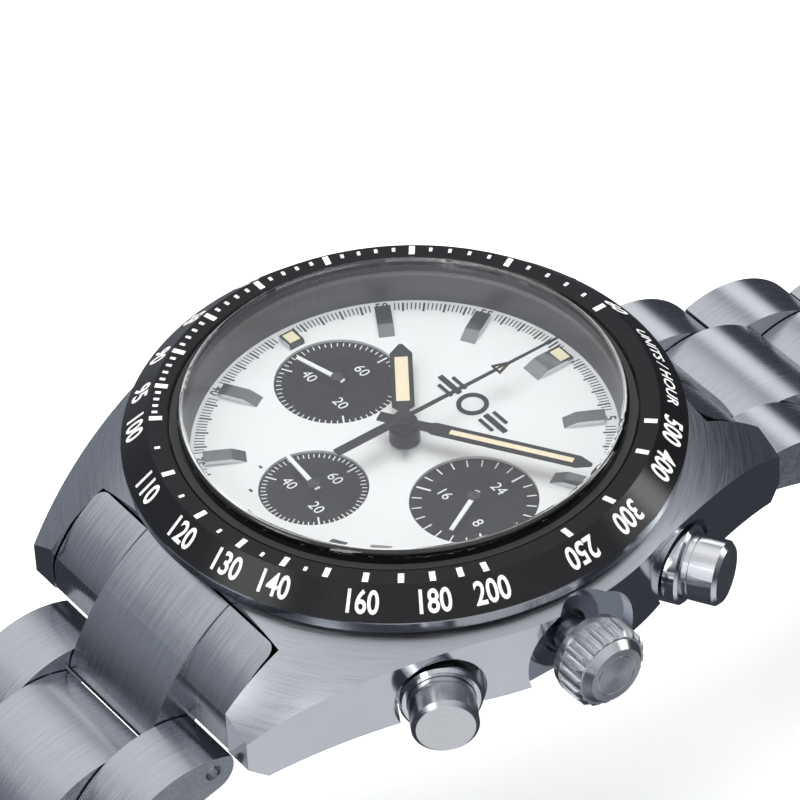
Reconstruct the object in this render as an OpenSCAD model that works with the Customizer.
/* [Case] */
// Radius of the round part of the case
case_r = 20.32; // [18:0.01:24]
// Length from lug tip to lug tip
lug_to_lug = 46.2; // [40:0.1:52]
// Half the width over a pair of lug tips
lug_tip_half_w = 12.85; // [11:0.05:15]
// Radius of each flank in plan
flank_r = 124.2; // [60:0.1:200]
// Angle that the flank has turned inwards at the lug tip
flank_tip_angle = 25; // [10:0.5:40]
// Height of the flank's bottom edge
flank_bottom_z = 2.85; // [2:0.05:6]
// Radius of the curve that is turned over the case top
top_r = 17.03; // [12:0.01:30]
// Distance of that curve's centre from the middle
top_centre_r = 13.13; // [8:0.01:18]
// Height of that curve's centre
top_centre_z = -7.09; // [-20:0.01:0]
// Radius of the curve under the lugs
lug_under_r = 26; // [10:0.1:40]
// Distance from the middle where the lug underside starts to curve
lug_under_start = 10.7; // [6:0.1:16]
// Half the gap between a pair of lugs
lug_gap_half = 10.5; // [9:0.1:12]
// Distance from the middle to the straight case wall between the lugs
gap_face = 18.45; // [17.5:0.05:20]
// Radius of the round case wall
barrel_r = 19.1; // [18:0.1:20]
// Radius of the space for the movement
bore_r = 15.85; // [14:0.05:17]
// Height of the shoulder under the bezel
barrel_top_z = 9; // [8:0.05:11]
// Outer radius of the neck that holds the crystal
neck_r = 17.25; // [16.5:0.05:18]
// Top of the neck
neck_top_z = 11.45; // [10:0.05:12]

/* [Bezel and crystal] */
// Outer radius of the bezel
bezel_r = 19.76; // [18:0.01:21]
// Height of the outer edge of the bezel's sloping face
bezel_edge_z = 10.33; // [9.8:0.01:12]
// Height of the tick ring
bezel_top_z = 12.1; // [11:0.05:13]
// Outer radius of the tick ring
tick_ring_r = 17.8; // [16.5:0.05:19]
// Inner radius of the bezel
bezel_bore_r = 16.3; // [15.5:0.05:17]
// Radius of the crystal
crystal_r = 15.7; // [14:0.05:16.2]
// Height of the crystal's top face
crystal_top_z = 13; // [12:0.05:14]
// Height of the crystal's lower face
crystal_bottom_z = 11; // [10.4:0.05:12]
// Radius of the rounding around the crystal's top
crystal_round = 0.5; // [0.1:0.05:1]

/* [Dial] */
// Height of the dial's face
dial_z = 8.1; // [7.5:0.05:9]
// Radius of the white part that shows
dial_seen_r = 15; // [13:0.1:15.5]
// Depth of the sub-dials below the face
subdial_drop = 0.2; // [0.05:0.05:0.3]
// Distance of the side sub-dials from the middle
subdial_side = 8; // [6:0.1:9]
// Distance of the lower sub-dial from the middle
subdial_low = 7.85; // [6:0.05:9]
// Radius of the side sub-dials
subdial_side_r = 4.5; // [3:0.05:5]
// Radius of the lower sub-dial
subdial_low_r = 3.85; // [3:0.05:5]
// Height of the hour markers
marker_h = 0.4; // [0.1:0.05:0.8]
// Width of an hour marker
marker_w = 1.15; // [0.5:0.05:2]
// Radius of the inner end of the markers
marker_in = 11.1; // [9:0.1:13]
// Radius of the outer end of the markers
marker_out = 14.1; // [13:0.1:14.8]

/* [Hands] */
// Length of the hour hand
hour_len = 8.8; // [6:0.1:10]
// Length of the minute hand
minute_len = 13.9; // [10:0.1:14.5]
// Length of the central seconds hand
seconds_len = 13.5; // [10:0.1:14.5]
// Length of the seconds hand's tail
tail_len = 5.8; // [3:0.1:8]
// Clockwise angle of the hour hand
hour_angle = 304.8; // [0:0.1:360]
// Clockwise angle of the minute hand
minute_angle = 58; // [0:0.1:360]
// Clockwise angle of the left counter's hand
left_angle = 256; // [0:1:360]
// Clockwise angle of the lower counter's hand
low_angle = 275; // [0:1:360]
// Clockwise angle of the 24-hour hand
right_angle = 152; // [0:1:360]

/* [Crown and pushers] */
// Height of the crown and pusher axes
stem_z = 4.3; // [3:0.1:6]
// Radius of the crown
crown_r = 3.05; // [2:0.05:4]
// Distance of the crown's flat rim from the middle
crown_end = 23.2; // [21:0.1:26]
// Radius of the space cut in the flank for the crown
crown_room_r = 4.5; // [3.5:0.1:5.5]
// Angle between the crown and each pusher
pusher_angle = 30.4; // [20:0.1:45]
// Distance of a pusher's end from the middle
pusher_end = 23.9; // [21:0.1:26]
// Radius of a pusher cap
cap_r = 2.35; // [1.5:0.05:3]
// Radius of the collar around a pusher
collar_r = 2.9; // [2:0.05:3.5]
// Distance of the collar's outer end from the middle
collar_end = 21.25; // [20:0.05:22.5]

/* [Bracelet] */
// Distance between link pins
pitch = 10.4; // [6:0.1:14]
// Half the width of the first link
link_half_w = 9.95; // [8:0.05:12]
// Narrowing of each half link after the first
link_taper = 0.2; // [0:0.05:0.4]
// Half the width of the middle piece
middle_half_w = 4.85; // [3:0.05:7]
// Radius of the link ends and half their thickness
end_r = 1.7; // [1:0.05:2.5]
// Radius of the domed link tops
dome_r = 8; // [6:0.1:20]
// Height of the dome above the pin axis
dome_h = 2.1; // [1.5:0.05:3]
// Gap between neighbouring link pieces
link_gap = 0.15; // [0.1:0.01:0.4]
// Radius of the link pins
pin_r = 0.45; // [0.3:0.05:0.7]
// Distance of the first pin from the middle of the case
first_pin_y = 24.09; // [22:0.01:27]
// Height of the first pin
first_pin_z = -0.67; // [-3:0.01:3]

/* [Clasp] */
// Length of the clasp cover beyond its first pin
clasp_len = 30; // [24:0.5:40]
// Half the width of the clasp cover
clasp_half_w = 9; // [7:0.1:11]
// Thickness of the clasp's top plate
clasp_t = 1.1; // [0.6:0.1:2]
// Thickness of the folding blades
blade_t = 0.9; // [0.5:0.05:1.2]
// Slope of the clasp below the horizontal
clasp_slope = 26; // [10:1:50]

/* [Hidden] */
$fn = 96;
// Clearance of fixed fits, clearance of running fits, overlap of cuts, and a length past everything
fit = 0.02;
run = 0.05;
eps = 0.01;
far = 60;
// Bracelet: slope of each link, and the link that the clasp follows
link_slopes = [16, 20, 22, 24, 26, 28];
clasp_link = 4;
dome_len = pitch - 2 * end_r - link_gap;
middle_start = end_r + link_gap;
side_start = middle_half_w + 0.1;
screw_head_r = 0.62;
// Case: flanks meet the round part beyond flank_start
flank_start = 5;
flank_at = [lug_tip_half_w - flank_r * cos(flank_tip_angle),
            lug_to_lug / 2 - flank_r * sin(flank_tip_angle)];
tip_bevel = [[21.8, 0.3], [24, 1.75], [24, -1], [21.8, -1]];
// Case back and its seat
back_t = 1.3;
back_r = 17.2;
back_rim_r = 14.9;
seat_r = bore_r + 0.5;
seat_z = back_t + 0.6;
// Dial side heights
subdial_z = dial_z - subdial_drop;
subdial_hand_z = subdial_z + 0.46;
dial_t = 0.38;
dial_back_z = dial_z - dial_t;
centre_hole_r = 1;
counter_hole_r = 0.4;
gasket_r = crystal_r + 0.55;
lume_half_w = 0.65;
small_lume_half_w = 0.45;
lume_floor = 0.15;
window_r = 11.9;
subdial_places = [[-subdial_side, 0, subdial_side_r],
                  [subdial_side, 0, subdial_side_r],
                  [0, -subdial_low, subdial_low_r]];
// Hands
hour_z = dial_z + 1.1;
minute_z = dial_z + 1.6;
seconds_z = dial_z + 1.98;
hand_t = 0.14;
seconds_post_r = 0.2;
counter_post_r = 0.25;
// Movement levels
bridge_z = 2.6;
board_z = 3.3;
plate_z = 3.85;
plate_top_z = 6.1;
pivot_z = plate_z + 1.1;
plate_r = 13.8;
holder_r = 13.95;
solar_z = 7.2;
cell_at = [-6.2, -5.5];
cell_r = 4.75;
screw_places = [[-9.5, 3], [9, 5.5], [-3, 11.5], [-11.6, -2.6], [0.2, -9.3]];
bridge_screws = 3;
screw_r = 0.34;
jewel_places = [[-5, 6], [0, 4.5], [5, 7.5], [1, 9.5], [-7, 8]];
// Motion work: distance and direction of the minute wheel, and its two gear levels
train_dist = 2.88;
train_dir = 45;
gear_low_z = 6.2;
gear_high_z = 6.62;
gear_t = 0.3;
// Crown and stem
flute_count = 20;
flute_r = 0.42;
crown_in = 20.55;
crown_room = 19.3;
crown_bore_r = 1.75;
crown_bore_end = 22.1;
tube_r = 1.3;
stem_r = 0.45;
stem_in = 6.4;
stem_end = 22.6;
lever_x = 9.4;
lever_t = 0.3;
// Pushers
pusher_dirs = [pusher_angle, -pusher_angle];
recess_floor = 18.3;
collar_floor = 19;
push_tube_r = 1.5;
push_stem_r = 0.5;
push_stem_in = 14.1;
cap_in = 20.1;
cap_bore_end = 22.6;
spring_r = 1.5;
spring_wire_r = 0.17;
spring_coils = 7;
spring_step = 0.35;
switch_x = 12.7;
// Lug spring bars and end links
spring_bar = [20.9, 2.6];
spring_bar_r = 0.75;
spring_tip_r = 0.45;
end_link_r = 14.4;
end_link_at = [11.8, -4.63];
end_link_bottom = 1.3;
end_link_end = 23.05;
end_round = 2;
end_gap = 0.12;
function facing(a) = [cos(a), sin(a)];
// The middle and side curves touch at the inner edge; the side one is tighter and ends in a rounding
inner_dir = facing(acos((gap_face + end_gap - end_link_at[0]) / end_link_r));
end_side_r = 10.5;
end_side_at = end_link_at + (end_link_r - end_side_r) * inner_dir;
round_dir = facing(acos((end_link_end - end_round - end_side_at[0]) / (end_side_r - end_round)));
// The nose is an arc that leaves the middle curve and runs onto the eye around the first pin
nose_dir = facing(42);
nose_start = end_link_at + end_link_r * nose_dir;
to_first_pin = [first_pin_y, first_pin_z] - nose_start;
nose_r = (end_r * end_r - to_first_pin * to_first_pin) / (2 * (to_first_pin * nose_dir + end_r));
nose_at = nose_start - nose_r * nose_dir;
line_w = 0.12;
line_depth = 0.25;
// Clasp: points are [distance from its pin, height above the pin]
cover_arc_r = 90;
cover_top_h = 2.2;
cover_wall = 0.9;
cover_low = -2.4;
knuckle_r = 1;
knuckle_gap = 0.2;
hinge_1 = [27.5, -0.85];
hinge_2 = [5.2, -1.65];
bar_end = [23.4, -3];
fork_r = 1.3;
fork_half = [5.2, 7.5];
blade_1_h = -1.2;
blade_2_h = -2.85;
blade_1_half = 6.6;
blade_2_half = 4.8;
tongue_half = 3.1;
blade_2_end = 21.6;
button_at = [15, -0.6];
button_r = 1.2;

STEEL = [0.72, 0.73, 0.75];
POLISHED = [0.82, 0.83, 0.85];
BLACK = [0.08, 0.08, 0.09];
WHITE = [0.93, 0.93, 0.92];
LUME = [0.92, 0.88, 0.7];
BRASS = [0.8, 0.66, 0.36];
RUBBER = [0.15, 0.15, 0.16];
BOARD = [0.12, 0.35, 0.22];
COPPER = [0.72, 0.42, 0.25];
SOLAR = [0.1, 0.1, 0.2];
GLASS = [0.8, 0.88, 0.92, 0.35];

// Round bar or bore along Z
module rod(r, z0, z1) {
  translate([0, 0, z0]) cylinder(r = r, h = z1 - z0);
}

// Tapered round bar along Z
module taper(r0, r1, z0, z1) {
  translate([0, 0, z0]) cylinder(r1 = r0, r2 = r1, h = z1 - z0);
}

// Round ring along Z
module ring(r0, r1, z0, z1) {
  difference() {
    rod(r1, z0, z1);
    rod(r0, z0 - eps, z1 + eps);
  }
}

// Round bar or bore along X, centred on the [y, z] point
module bar(r, w, at = [0, 0]) {
  translate([0, at[0], at[1]]) rotate([0, 90, 0]) cylinder(r = r, h = w, center = true);
}

// Solid turned from [radius, height] points
module turned(pts) {
  rotate_extrude() polygon(pts);
}

// Children moved to an [x, y] place
module at(place) {
  translate([place[0], place[1], 0]) children();
}

// Children that lie along Z are laid along +X at the stem height
module on_stem() {
  translate([0, 0, stem_z]) rotate([0, 90, 0]) children();
}

// Children that lie along Z are laid along a pusher axis
module on_pusher(dir) {
  rotate([0, 0, dir]) on_stem() children();
}

// Flat shape in the Y-Z plane, drawn as [y, z], run along X
module across(x0, x1) {
  translate([x0, 0, 0]) rotate([90, 0, 90]) linear_extrude(x1 - x0) children();
}

// Same shape centred on the middle
module across_mid(half) {
  across(-half, half) children();
}

// Same shape on both sides of the middle
module both_sides(x0, x1) {
  across(x0, x1) children();
  across(-x1, -x0) children();
}

// Turns clockwise from 12 o'clock, seen from above the dial
module clock(angle) {
  rotate([0, 0, -angle]) children();
}

// ---- case ----

module flank(sx, sy) {
  translate([sx * flank_at[0], sy * flank_at[1]]) circle(flank_r, $fn = 720);
}

module case_plan() {
  circle(case_r, $fn = 240);
  difference() {
    intersection() {
      flank(1, 1);
      flank(-1, 1);
      flank(1, -1);
      flank(-1, -1);
      square([far, lug_to_lug], center = true);
    }
    square([far, 2 * flank_start], center = true);
  }
}

// Round-topped solid that the whole case top is turned to
module top_dome() {
  rotate_extrude($fn = 240) intersection() {
    union() {
      translate([top_centre_r, top_centre_z]) circle(top_r, $fn = 240);
      square([top_centre_r, top_centre_z + top_r]);
    }
    square(far);
  }
}

// Side view of half the case, with the curve under the lugs cut away
module half_side() {
  difference() {
    translate([-eps, 0]) square([lug_to_lug, barrel_top_z]);
    translate([-1, -1]) square([lug_under_start + 1, flank_bottom_z + 1]);
    translate([lug_under_start, flank_bottom_z - lug_under_r]) circle(lug_under_r, $fn = 240);
    polygon(tip_bevel);
  }
}

module lugs_and_flanks() {
  intersection() {
    linear_extrude(far) case_plan();
    top_dome();
    across_mid(far / 2) union() {
      half_side();
      mirror([1, 0]) half_side();
    }
  }
}

module barrel() {
  turned([[0, back_t], [17.4, back_t], [17.7, back_t + 0.3], [barrel_r, flank_bottom_z],
          [barrel_r, barrel_top_z], [neck_r, barrel_top_z], [neck_r, neck_top_z], [0, neck_top_z]]);
}

module case_middle() {
  color(STEEL) difference() {
    union() {
      lugs_and_flanks();
      barrel();
    }
    for (y = [gap_face, -gap_face - far])
      translate([-lug_gap_half, y, -eps]) cube([2 * lug_gap_half, far, far]);
    rod(bore_r, back_t - eps, crystal_bottom_z - eps);
    rod(gasket_r, crystal_bottom_z - 2 * eps, far);
    rod(seat_r, back_t - eps, seat_z);
    on_stem() rod(tube_r, 10, 25);
    on_stem() rod(crown_room_r, crown_room, far);
    for (d = pusher_dirs) on_pusher(d) {
      rod(push_tube_r, 10, 25);
      rod(collar_r + 0.35, recess_floor, far);
    }
    for (s = [-1, 1]) bar(spring_tip_r + fit, 2 * (lug_gap_half + 1.1), [s * spring_bar[0], spring_bar[1]]);
  }
}

module tachymeter_bezel() {
  low = barrel_top_z + 0.06;
  color(BLACK) turned([[neck_r + fit, low], [bezel_r - 0.4, low], [bezel_r - 0.1, low + 0.35],
    [bezel_r, bezel_edge_z - 0.1], [bezel_r, bezel_edge_z], [tick_ring_r, bezel_top_z],
    [bezel_bore_r + 0.15, bezel_top_z], [bezel_bore_r, bezel_top_z - 0.15],
    [bezel_bore_r, neck_top_z + 0.05], [neck_r + fit, neck_top_z + 0.05]]);
}

module crystal() {
  flat_h = crystal_top_z - crystal_bottom_z;
  color(GLASS) rotate_extrude() translate([0, crystal_bottom_z]) {
    square([crystal_r - crystal_round, flat_h]);
    square([crystal_r, flat_h - crystal_round]);
    translate([crystal_r - crystal_round, flat_h - crystal_round]) intersection() {
      circle(crystal_round, $fn = 48);
      square(crystal_round);
    }
  }
}

module crystal_gasket() {
  color(RUBBER) ring(crystal_r, gasket_r, crystal_bottom_z, crystal_bottom_z + 1);
}

module dial_flange() {
  flange_top = crystal_bottom_z - 2 * eps;
  color(STEEL) turned([[dial_seen_r, dial_z], [bore_r - fit, dial_z],
    [bore_r - fit, flange_top], [dial_seen_r + 0.5, flange_top]]);
}

// ---- dial ----

module date_window(grow) {
  clock(135) translate([0, window_r, far / 2])
    cube([1.5 + 2 * grow, 2 + 2 * grow, far], center = true);
}

module dial() {
  color(WHITE) difference() {
    rod(bore_r - 0.1, dial_back_z, dial_z);
    rod(centre_hole_r, 0, far);
    for (p = subdial_places) at(p) rod(p[2], 0, far);
    date_window(0);
  }
}

module subdial_plate() {
  low = dial_back_z - 0.25;
  arm_w = 3.2;
  color(BLACK) difference() {
    union() {
      for (p = subdial_places) at(p) {
        rod(p[2] - 0.04, low, subdial_z);
        rod(p[2] + 0.4, low, dial_back_z - fit);
      }
      translate([-subdial_side, -arm_w / 2, low]) cube([2 * subdial_side, arm_w, 0.2]);
      translate([-arm_w / 2, -subdial_low, low]) cube([arm_w, subdial_low, 0.2]);
    }
    rod(centre_hole_r, 0, far);
    for (p = subdial_places) at(p) rod(counter_hole_r, 0, far);
  }
}

// Marker with a sloping inner end, reaching outwards from r0 to r1
module marker(r0, r1, w, slope) {
  translate([0, 0, dial_z]) across_mid(w / 2)
    polygon([[r0, 0], [r1, 0], [r1, marker_h], [r0 + slope, marker_h]]);
}

// Block for luminous fill, or the pocket it sits in
module lume_block(half_w, r0, r1, inset, top) {
  translate([inset - half_w, r0 + inset, dial_z + lume_floor + inset])
    cube([2 * (half_w - inset), r1 - r0 - 2 * inset, top]);
}

module hour_markers() {
  color(POLISHED) {
    for (h = [1, 2, 4, 5, 7, 8, 10, 11]) clock(h * 30) marker(marker_in, marker_out, marker_w, 1);
    difference() {
      marker(marker_in - 0.1, marker_out + 0.1, 1.5 * marker_w, 1);
      lume_block(lume_half_w, marker_out - 0.9, marker_out - 0.05, 0, 1);
    }
    for (h = [3, 6, 9]) clock(h * 30) difference() {
      marker(12.75, marker_out + 0.1, marker_w + 0.1, 0.15);
      lume_block(small_lume_half_w, 13, marker_out - 0.05, 0, 1);
    }
  }
}

module marker_lume() {
  lume_h = marker_h - lume_floor;
  color(LUME) {
    lume_block(lume_half_w, marker_out - 0.9, marker_out - 0.05, fit, lume_h);
    for (h = [3, 6, 9]) clock(h * 30)
      lume_block(small_lume_half_w, 13, marker_out - 0.05, fit, lume_h);
  }
}

module solar_cell() {
  color(SOLAR) difference() {
    rod(15.2, solar_z, solar_z + 0.2);
    rod(centre_hole_r, 0, far);
    for (p = subdial_places) at(p) rod(counter_hole_r, 0, far);
    date_window(0.2);
  }
}

// ---- movement ----

module screw_holes(z1) {
  for (p = screw_places) at(p) rod(screw_r + 0.04, 0, z1);
}

// Room for a switch spring at the inner end of a pusher
module switch_room(z1) {
  for (d = pusher_dirs) rotate([0, 0, d]) translate([switch_x, -1.9, 0]) cube([far, 3.8, z1]);
}

module movement_plate() {
  pivot_low = plate_z + 1;
  color(BRASS) difference() {
    union() {
      rod(plate_r, plate_z, plate_top_z);
      ring(plate_r - 0.5, plate_r, plate_z, solar_z - 0.05);
    }
    rod(seconds_post_r + 0.1, pivot_low, far);
    for (p = subdial_places) at(p) rod(counter_post_r + 0.09, pivot_low, far);
    rotate([0, 0, train_dir]) translate([train_dist, 0, 0]) rod(0.27, pivot_low, far);
    translate([stem_in - 0.6, -1.3, 0]) cube([far, 2.6, pivot_z]);
    switch_room(stem_z + 0.85);
    at(cell_at) rod(cell_r + 0.15, 0, plate_z + 0.3);
    screw_holes(plate_z + 1.2);
  }
}

module movement_holder() {
  out_r = bore_r - 0.15;
  color(RUBBER) difference() {
    turned([[holder_r, 2.3], [out_r, 2.3], [out_r, dial_back_z - fit],
            [15.35, dial_back_z - fit], [15.35, solar_z - 0.1], [holder_r, solar_z - 0.1]]);
    on_stem() rod(0.8, 0, far);
    for (d = pusher_dirs) on_pusher(d) rod(0.8, 0, far);
  }
}

module circuit_board() {
  color(BOARD) difference() {
    rod(plate_r - 0.5, board_z, board_z + 0.4);
    at(cell_at) rod(cell_r + 0.15, 0, far);
    screw_holes(far);
    switch_room(far);
  }
}

// Wound coil with a flange at each end, lying along X
module coil(x0, x1, y) {
  flange = 0.3;
  translate([0, y, 2.4]) rotate([0, 90, 0]) {
    rod(0.75, x0 + flange, x1 - flange);
    rod(0.85, x0, x0 + flange);
    rod(0.85, x1 - flange, x1);
  }
}

module motor_coils() {
  color(COPPER) {
    coil(1.4, 8, -2);
    coil(1.4, 9.4, -4.6);
    coil(1.8, 8.6, -7.2);
  }
}

module train_bridge() {
  color(POLISHED) difference() {
    intersection() {
      rod(12.9, bridge_z, bridge_z + 0.55);
      translate([-far / 2, 1, 0]) cube(far);
    }
    screw_holes(far);
    for (p = jewel_places) at(p) rod(0.45, 0, far);
  }
}

module rechargeable_cell() {
  color(POLISHED) at(cell_at) {
    rod(cell_r, 2.7, 4);
    rod(cell_r - 0.6, 2.4, 2.7);
  }
}

module cell_clamp() {
  color(STEEL) difference() {
    union() {
      at(cell_at) rod(2.6, 2.22, 2.38);
      at(cell_at) rotate([0, 0, -29.6]) translate([0, 0, 2.3]) cube([14.6, 2, 0.16], center = true);
    }
    screw_holes(far);
  }
}

module movement_screws() {
  color(POLISHED) for (i = [0 : len(screw_places) - 1]) at(screw_places[i]) {
    under = i < bridge_screws ? bridge_z - fit : 2.2;
    difference() {
      rod(0.75, under - 0.35, under);
      translate([-1, -0.1, under - 0.36]) cube([2, 0.2, 0.18]);
    }
    rod(screw_r, under - eps, pivot_z);
  }
}

module case_back() {
  color(POLISHED) difference() {
    union() {
      turned([[0, 0], [back_r - 0.6, 0], [back_r, 0.4], [back_r, back_t - fit], [0, back_t - fit]]);
      ring(back_rim_r, bore_r - fit, back_t / 2, 2.25);
    }
    for (a = [0 : 60 : 300]) rotate([0, 0, a]) translate([back_r - 1.9, -1.1, -eps])
      cube([1, 2.2, 0.55]);
    ring(12.2, 13.6, -eps, 0.12);
  }
}

module case_back_gasket() {
  color(RUBBER) ring(bore_r, seat_r - fit, back_t, seat_z - fit);
}

// ---- crown and pushers ----

module crown_tube() {
  color(POLISHED) on_stem() ring(stem_r + run, tube_r - fit, bore_r + 0.1, 20.4);
}

module crown() {
  rim_h = 0.35;
  color(POLISHED) on_stem() difference() {
    union() {
      rod(crown_r - 0.15, crown_in, crown_in + 0.5);
      rod(crown_r, crown_in + 0.5, crown_end - rim_h);
      taper(crown_r, crown_r - 0.3, crown_end - rim_h, crown_end);
      taper(crown_r - 0.5, crown_r - 0.95, crown_end, crown_end + 0.55);
    }
    for (i = [0 : flute_count - 1]) rotate([0, 0, i * 360 / flute_count])
      translate([crown_r + 0.02, 0, crown_in + 0.7]) cylinder(r = flute_r, h = far);
    ring(1.5, 1.62, crown_end + 0.5, far);
    rod(crown_bore_r, 0, crown_bore_end);
    rod(stem_r + eps, 0, stem_end + eps);
  }
}

module crown_stem() {
  color(POLISHED) on_stem() difference() {
    union() {
      rod(stem_r, stem_in, stem_end);
      rod(1.2, crown_bore_end - 0.4, crown_bore_end);
    }
    ring(0.28, 1, lever_x - 0.2, lever_x + 0.2);
  }
}

module setting_lever() {
  color(STEEL) difference() {
    translate([lever_x - lever_t / 2, -1.1, plate_z - 0.07]) cube([lever_t, 2.2, 1.05]);
    translate([lever_x - 1, -0.31, 0]) cube([2, 0.62, stem_z + 0.32]);
  }
}

module pusher_tube(d) {
  lip = 0.2;
  on_pusher(d) difference() {
    union() {
      rod(push_tube_r - fit, bore_r + 0.1, recess_floor + 0.1);
      taper(collar_r - 0.35, collar_r, recess_floor + fit, recess_floor + 1.1);
      rod(collar_r, recess_floor + 1.1, collar_end - lip);
      taper(collar_r, collar_r - lip, collar_end - lip, collar_end);
    }
    rod(push_stem_r + run, 0, far);
    rod(cap_r + run, collar_floor, far);
  }
}

module pusher_tubes() {
  color(POLISHED) for (d = pusher_dirs) pusher_tube(d);
}

module switch_springs() {
  color(BRASS) for (d = pusher_dirs) rotate([0, 0, d])
    translate([switch_x + 0.25, -1.5, plate_z + 0.1]) cube([0.15, 3, 0.9]);
}

module pusher(d) {
  rim_h = 0.3;
  color(POLISHED) on_pusher(d) difference() {
    union() {
      rod(cap_r, cap_in, pusher_end - rim_h);
      taper(cap_r, cap_r - rim_h, pusher_end - rim_h, pusher_end);
      rod(push_stem_r, push_stem_in, cap_in + 0.1);
    }
    ring(push_stem_r, 1.9, cap_in - 0.1, cap_bore_end);
    ring(cap_r - 0.12, far, collar_end + 0.45, collar_end + 0.6);
  }
}

module pusher_upper() {
  pusher(pusher_angle);
}

module pusher_lower() {
  pusher(-pusher_angle);
}

// Return spring drawn as closed coils, at the length it has when pressed
module pusher_spring(d) {
  first = cap_in + spring_wire_r + 0.02;
  color(POLISHED) on_pusher(d) for (i = [0 : spring_coils - 1])
    translate([0, 0, first + i * spring_step]) rotate_extrude()
      translate([spring_r, 0]) circle(spring_wire_r, $fn = 24);
}

module pusher_spring_upper() {
  pusher_spring(pusher_angle);
}

module pusher_spring_lower() {
  pusher_spring(-pusher_angle);
}

// ---- hands ----

// Baton hand with a pointed tip and an open slot for luminous fill
module baton(len, w, slot_w, slot_0) {
  neck = 0.38;
  shoulder = 0.42;
  neck_len = 1.9;
  wide_at = 2.2;
  tip = 0.12;
  linear_extrude(hand_t) difference() {
    union() {
      circle(0.95);
      polygon([[-neck, 0], [neck, 0], [shoulder, neck_len], [w / 2, wide_at], [w / 2, len - 1], [tip, len],
               [-tip, len], [-w / 2, len - 1], [-w / 2, wide_at], [-shoulder, neck_len]]);
      translate([-shoulder, -neck_len]) square([2 * shoulder, neck_len]);
    }
    translate([-slot_w / 2, slot_0]) square([slot_w, len - slot_0 - 1.35]);
  }
}

module hour_hand() {
  color(BLACK) clock(hour_angle) difference() {
    union() {
      translate([0, 0, hour_z]) baton(hour_len, 1.6, 0.95, 2.7);
      rod(1.1, dial_z + 0.1, hour_z + hand_t);
    }
    rod(0.87, 0, far);
  }
}

module minute_hand() {
  color(BLACK) clock(minute_angle) difference() {
    union() {
      translate([0, 0, minute_z]) baton(minute_len, 1.15, 0.5, 3.4);
      rod(0.8, minute_z - 0.15, minute_z + hand_t);
    }
    rod(0.52, 0, far);
  }
}

module seconds_hand() {
  tail_w = 0.68;
  root_w = 0.3;
  end_w = 0.12;
  color(BLACK) {
    translate([0, 0, seconds_z]) linear_extrude(hand_t) {
      circle(0.72);
      translate([-tail_w / 2, -tail_len]) square([tail_w, tail_len]);
      polygon([[-root_w / 2, 0], [root_w / 2, 0], [end_w / 2, seconds_len], [-end_w / 2, seconds_len]]);
      difference() {
        polygon([[-0.52, 8], [0.52, 8], [0, 9.4]]);
        polygon([[-0.3, 8.12], [0.3, 8.12], [0, 8.95]]);
      }
    }
    rod(0.35, seconds_z, seconds_z + 0.24);
    rod(seconds_post_r, 5, seconds_z + 0.05);
  }
}

module counter_hand(place, angle, len) {
  color(WHITE) at(place) {
    clock(angle) translate([0, 0, subdial_hand_z]) linear_extrude(0.1)
      polygon([[-0.19, -0.6], [0.19, -0.6], [0.15, len], [-0.15, len]]);
    rod(0.45, subdial_z + 0.1, subdial_hand_z + 0.18);
    rod(counter_post_r, pivot_z, subdial_hand_z);
  }
}

module minute_counter_hand() {
  counter_hand(subdial_places[0], left_angle, 3.7);
}

module day_hand() {
  counter_hand(subdial_places[1], right_angle, 3.7);
}

module small_seconds_hand() {
  counter_hand(subdial_places[2], low_angle, 3.6);
}

// ---- calendar and motion work ----

// Disc with a notch for each of the 31 days
module date_ring() {
  days = 31;
  color(WHITE) difference() {
    ring(10.9, 13.1, gear_low_z + 0.05, gear_low_z + 0.45);
    for (i = [1 : days]) rotate([0, 0, i * 360 / days]) translate([10.6, -0.45, 0])
      cube([0.75, 0.9, far]);
  }
}

// Spur gear with straight-sided teeth; phase turns the first tooth
module gear(teeth, root, tip, phase) {
  root_w = PI * root / teeth * 0.46;
  tip_w = PI * root / teeth * 0.22;
  linear_extrude(gear_t) {
    circle(root);
    for (i = [0 : teeth - 1]) rotate(phase + i * 360 / teeth)
      polygon([[root - 0.05, -root_w], [tip, -tip_w], [tip, tip_w], [root - 0.05, root_w]]);
  }
}

module hour_wheel() {
  color(BRASS) difference() {
    union() {
      translate([0, 0, gear_high_z]) gear(40, 2.2, 2.36, train_dir + 4.5);
      rod(0.85, gear_high_z, hour_z + hand_t);
    }
    rod(0.6, 0, far);
  }
}

module cannon_pinion() {
  color(BRASS) difference() {
    union() {
      translate([0, 0, gear_low_z]) gear(12, 0.62, 0.76, train_dir);
      rod(0.5, gear_low_z, minute_z + hand_t);
    }
    rod(seconds_post_r + run, 0, far);
  }
}

module minute_wheel() {
  color(BRASS) rotate([0, 0, train_dir]) translate([train_dist, 0, 0]) {
    translate([0, 0, gear_low_z]) gear(36, 1.98, 2.14, 5);
    translate([0, 0, gear_high_z]) gear(10, 0.48, 0.6, 0);
    rod(0.2, pivot_z, gear_high_z);
  }
}

// ---- end links ----

module end_link_side() {
  round_at = end_side_at + (end_side_r - end_round) * round_dir;
  intersection() {
    translate(end_side_at) circle(end_side_r, $fn = 200);
    union() {
      translate([0, end_link_bottom]) square([round_at[0] + end_round * round_dir[0], far]);
      translate([0, end_link_bottom]) square([end_link_end, round_at[1] - end_link_bottom]);
      translate(round_at) circle(end_round, $fn = 120);
    }
  }
}

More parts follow.
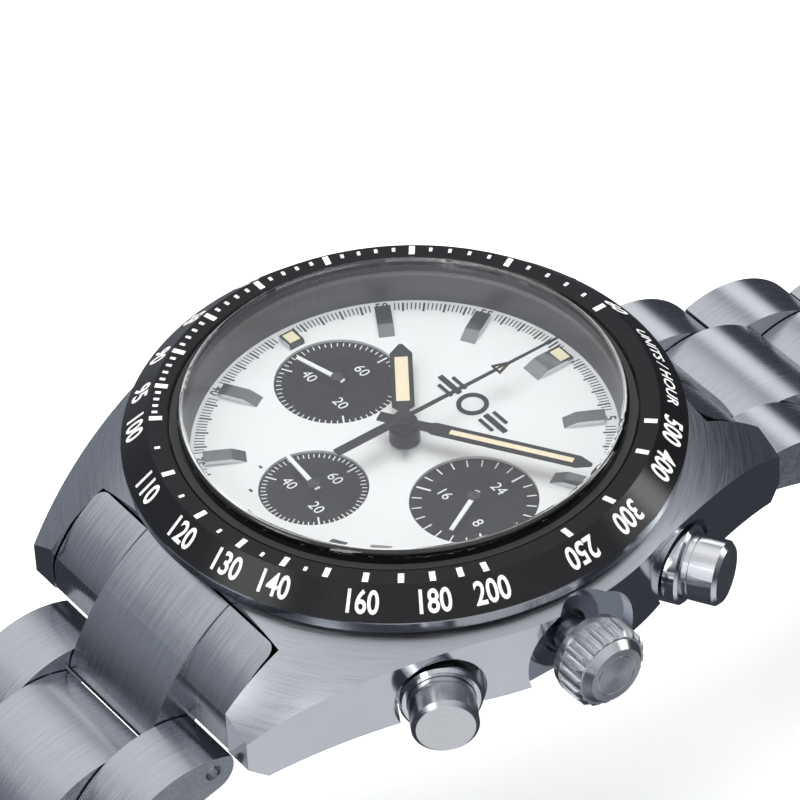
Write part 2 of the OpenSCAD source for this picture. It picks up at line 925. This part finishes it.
// Middle section with a nose that reaches down to the first link's pin
module end_link_middle() {
  pin = [first_pin_y, first_pin_z];
  outwards = (pin - nose_at) / norm(pin - nose_at);
  intersection() {
    translate(end_link_at) circle(end_link_r, $fn = 200);
    translate([0, end_link_bottom]) square([nose_start[0], far]);
  }
  translate(pin) circle(end_r);
  intersection() {
    translate(nose_at) circle(nose_r, $fn = 240);
    polygon([nose_start + [-2, end_link_bottom - nose_start[1]], nose_start - [2, 0.4], nose_start - [0, 0.4],
      nose_start + [0, end_r], pin + [2 * end_r, nose_start[1]], pin + 2 * end_r * outwards,
      pin, pin - end_r * [sin(40), cos(40)]]);
  }
}

// Plan of the end link: two rounded corners against the case
module end_link_plan() {
  half_w = lug_gap_half - end_gap;
  corner_r = 0.8;
  start = gap_face + end_gap;
  translate([corner_r - half_w, start]) square([2 * (half_w - corner_r), far]);
  translate([-half_w, start + corner_r]) square([2 * half_w, far]);
  for (s = [-1, 1]) translate([s * (half_w - corner_r), start + corner_r]) circle(corner_r, $fn = 48);
}

// Shallow line between the middle and side sections
module end_link_line() {
  difference() {
    translate([barrel_r - 1, end_link_bottom]) square(far);
    translate(end_link_at) circle(end_link_r - line_depth, $fn = 200);
  }
}

module end_link() {
  color(STEEL) difference() {
    intersection() {
      union() {
        across_mid(lug_gap_half) end_link_side();
        across_mid(middle_half_w) end_link_middle();
      }
      linear_extrude(2 * far, center = true) end_link_plan();
    }
    both_sides(middle_half_w, middle_half_w + line_w) end_link_line();
    bar(spring_bar_r + run, far, spring_bar);
    bar(pin_r + run, far, [first_pin_y, first_pin_z]);
  }
}

module end_link_12() {
  end_link();
}

module end_link_6() {
  mirror([0, 1, 0]) end_link();
}

module lug_spring_bars() {
  color(POLISHED) for (s = [-1, 1]) {
    bar(spring_bar_r, 2 * lug_gap_half - 0.4, [s * spring_bar[0], spring_bar[1]]);
    bar(spring_tip_r, 2 * (lug_gap_half + 1), [s * spring_bar[0], spring_bar[1]]);
  }
}

// ---- bracelet ----

function pin_at(k) = k == 0 ? [first_pin_y, first_pin_z]
  : pin_at(k - 1) + pitch * [cos(link_slopes[k - 1]), -sin(link_slopes[k - 1])];

// Places children drawn along +Y from a pin, sloping down and outwards
module from_pin(k, slope) {
  translate([0, pin_at(k)[0], pin_at(k)[1]]) rotate([-slope, 0, 0]) children();
}

module side_piece() {
  intersection() {
    translate([dome_len / 2, dome_h - dome_r]) circle(dome_r, $fn = 160);
    union() {
      translate([0, -end_r]) square([dome_len, end_r + dome_h]);
      circle(end_r);
      translate([dome_len, 0]) circle(end_r);
    }
  }
}

module middle_piece() {
  intersection() {
    translate([(middle_start + pitch + end_r) / 2, dome_h - dome_r]) circle(dome_r, $fn = 160);
    union() {
      translate([middle_start, -end_r]) square([pitch - middle_start, end_r + dome_h]);
      translate([pitch, 0]) circle(end_r);
    }
  }
}

// Two side pieces and a middle piece that is offset by half a link, joined inside
module link(k) {
  half_w = link_half_w - link_taper * (k - 1);
  color(STEEL) from_pin(k - 1, link_slopes[k - 1]) difference() {
    union() {
      both_sides(side_start, half_w) side_piece();
      across_mid(middle_half_w) middle_piece();
      translate([1 - half_w, middle_start + 1.2, -1.1]) cube([2 * half_w - 2, 2.6, 2.1]);
      bar(pin_r, 2 * half_w - 0.8);
    }
    bar(pin_r + run, 2 * side_start, [pitch, 0]);
    for (s = [-1, 1]) translate([s * half_w, 0, 0]) bar(screw_head_r, 0.8);
  }
}

module link_12_1() {
  link(1);
}

module link_12_2() {
  link(2);
}

module link_12_3() {
  link(3);
}

module link_12_4() {
  link(4);
}

module link_12_5() {
  link(5);
}

module link_12_6() {
  link(6);
}

module link_6_1() {
  mirror([0, 1, 0]) link(1);
}

module link_6_2() {
  mirror([0, 1, 0]) link(2);
}

module link_6_3() {
  mirror([0, 1, 0]) link(3);
}

module link_6_4() {
  mirror([0, 1, 0]) link(4);
}

// ---- clasp ----

module on_clasp() {
  mirror([0, 1, 0]) from_pin(clasp_link, clasp_slope) children();
}

// Side view of the cover between two radii of its long curve
module cover_band(r0, r1) {
  intersection() {
    difference() {
      translate([clasp_len / 2, cover_top_h - cover_arc_r]) circle(r1, $fn = 720);
      translate([clasp_len / 2, cover_top_h - cover_arc_r]) circle(r0, $fn = 720);
    }
    translate([middle_start, cover_low]) square([clasp_len - middle_start, far]);
  }
}

module clasp_cover() {
  inner = clasp_half_w - cover_wall;
  color(STEEL) on_clasp() difference() {
    union() {
      across_mid(clasp_half_w) cover_band(cover_arc_r - clasp_t, cover_arc_r);
      both_sides(inner, clasp_half_w) cover_band(cover_arc_r - far, cover_arc_r);
      both_sides(side_start + 0.1, clasp_half_w) union() {
        circle(end_r);
        translate([0, -end_r]) square([2 * end_r, 2.2]);
      }
      both_sides(fork_half[0], clasp_half_w - 0.5) union() {
        translate(hinge_1) circle(knuckle_r);
        translate([hinge_1[0] - knuckle_r, hinge_1[1]]) square([2 * knuckle_r, 1.3]);
      }
      bar(pin_r, 2 * clasp_half_w - 1.4, hinge_1);
    }
    bar(pin_r + fit, 2 * clasp_half_w - 0.8);
    bar(button_r + run, far, button_at);
  }
}

module clasp_blade_1() {
  tab = 2.2;
  slot_half = tongue_half + 0.1;
  color(POLISHED) on_clasp() difference() {
    union() {
      across_mid(blade_1_half) translate([hinge_2[0], blade_1_h])
        square([hinge_1[0] - knuckle_r - knuckle_gap - hinge_2[0], blade_t]);
      across_mid(fork_half[0] - 0.1) union() {
        translate(hinge_1) circle(knuckle_r);
        translate([hinge_1[0] - tab, blade_1_h]) square([tab, blade_t]);
      }
      both_sides(slot_half, blade_1_half - 0.6) translate(hinge_2) circle(knuckle_r);
      bar(pin_r, 2 * (blade_1_half - 0.8), hinge_2);
    }
    bar(pin_r + run, far, hinge_1);
    difference() {
      translate([-slot_half, 0, -far / 2]) cube([2 * slot_half, hinge_2[0] + knuckle_r + 0.3, far]);
      bar(pin_r, far, hinge_2);
    }
  }
}

module clasp_blade_2() {
  start = hinge_2[0] + knuckle_r + knuckle_gap;
  color(POLISHED) on_clasp() difference() {
    union() {
      across_mid(blade_2_half) translate([start, blade_2_h]) square([blade_2_end - start, blade_t]);
      across_mid(tongue_half) union() {
        translate(hinge_2) circle(knuckle_r);
        translate([hinge_2[0], blade_2_h]) square([2, blade_t]);
      }
      across_mid(fork_half[1]) translate([blade_2_end - 1.5, blade_2_h]) square([1.5, blade_t]);
      both_sides(fork_half[0], fork_half[1]) union() {
        translate(bar_end) circle(fork_r);
        polygon([[blade_2_end - 1, blade_2_h], bar_end - [0, fork_r], bar_end,
                 [blade_2_end - 1, blade_2_h + blade_t]]);
      }
    }
    bar(pin_r + run, far, hinge_2);
    bar(pin_r + fit, 2 * fork_half[1] - 0.8, bar_end);
  }
}

module clasp_button() {
  inner = clasp_half_w - cover_wall;
  head = clasp_half_w + 0.7;
  color(POLISHED) on_clasp() translate([0, button_at[0], button_at[1]]) rotate([0, 90, 0]) {
    rod(button_r, inner - 0.1, head);
    taper(button_r, button_r - 0.2, head, head + 0.2);
    rod(button_r + 0.3, inner - 0.5, inner - run);
  }
}

module clasp_button_right() {
  clasp_button();
}

module clasp_button_left() {
  mirror([1, 0, 0]) clasp_button();
}

module clasp_bar_6() {
  color(POLISHED) on_clasp() bar(pin_r, 2 * clasp_half_w - 1);
}

module clasp_bar_12() {
  color(POLISHED) on_clasp() bar(pin_r, 2 * fork_half[1] - 1, bar_end);
}

case_middle();
tachymeter_bezel();
crystal();
crystal_gasket();
dial_flange();
dial();
subdial_plate();
hour_markers();
marker_lume();
solar_cell();
movement_plate();
movement_holder();
circuit_board();
motor_coils();
train_bridge();
rechargeable_cell();
cell_clamp();
movement_screws();
case_back();
case_back_gasket();
pusher_tubes();
crown_tube();
switch_springs();
end_link_12();
end_link_6();
lug_spring_bars();
crown();
crown_stem();
setting_lever();
pusher_upper();
pusher_lower();
pusher_spring_upper();
pusher_spring_lower();
hour_hand();
minute_hand();
seconds_hand();
minute_counter_hand();
small_seconds_hand();
day_hand();
date_ring();
hour_wheel();
cannon_pinion();
minute_wheel();
link_12_1();
link_12_2();
link_12_3();
link_12_4();
link_12_5();
link_12_6();
link_6_1();
link_6_2();
link_6_3();
link_6_4();
clasp_cover();
clasp_blade_1();
clasp_blade_2();
clasp_button_right();
clasp_button_left();
clasp_bar_6();
clasp_bar_12();
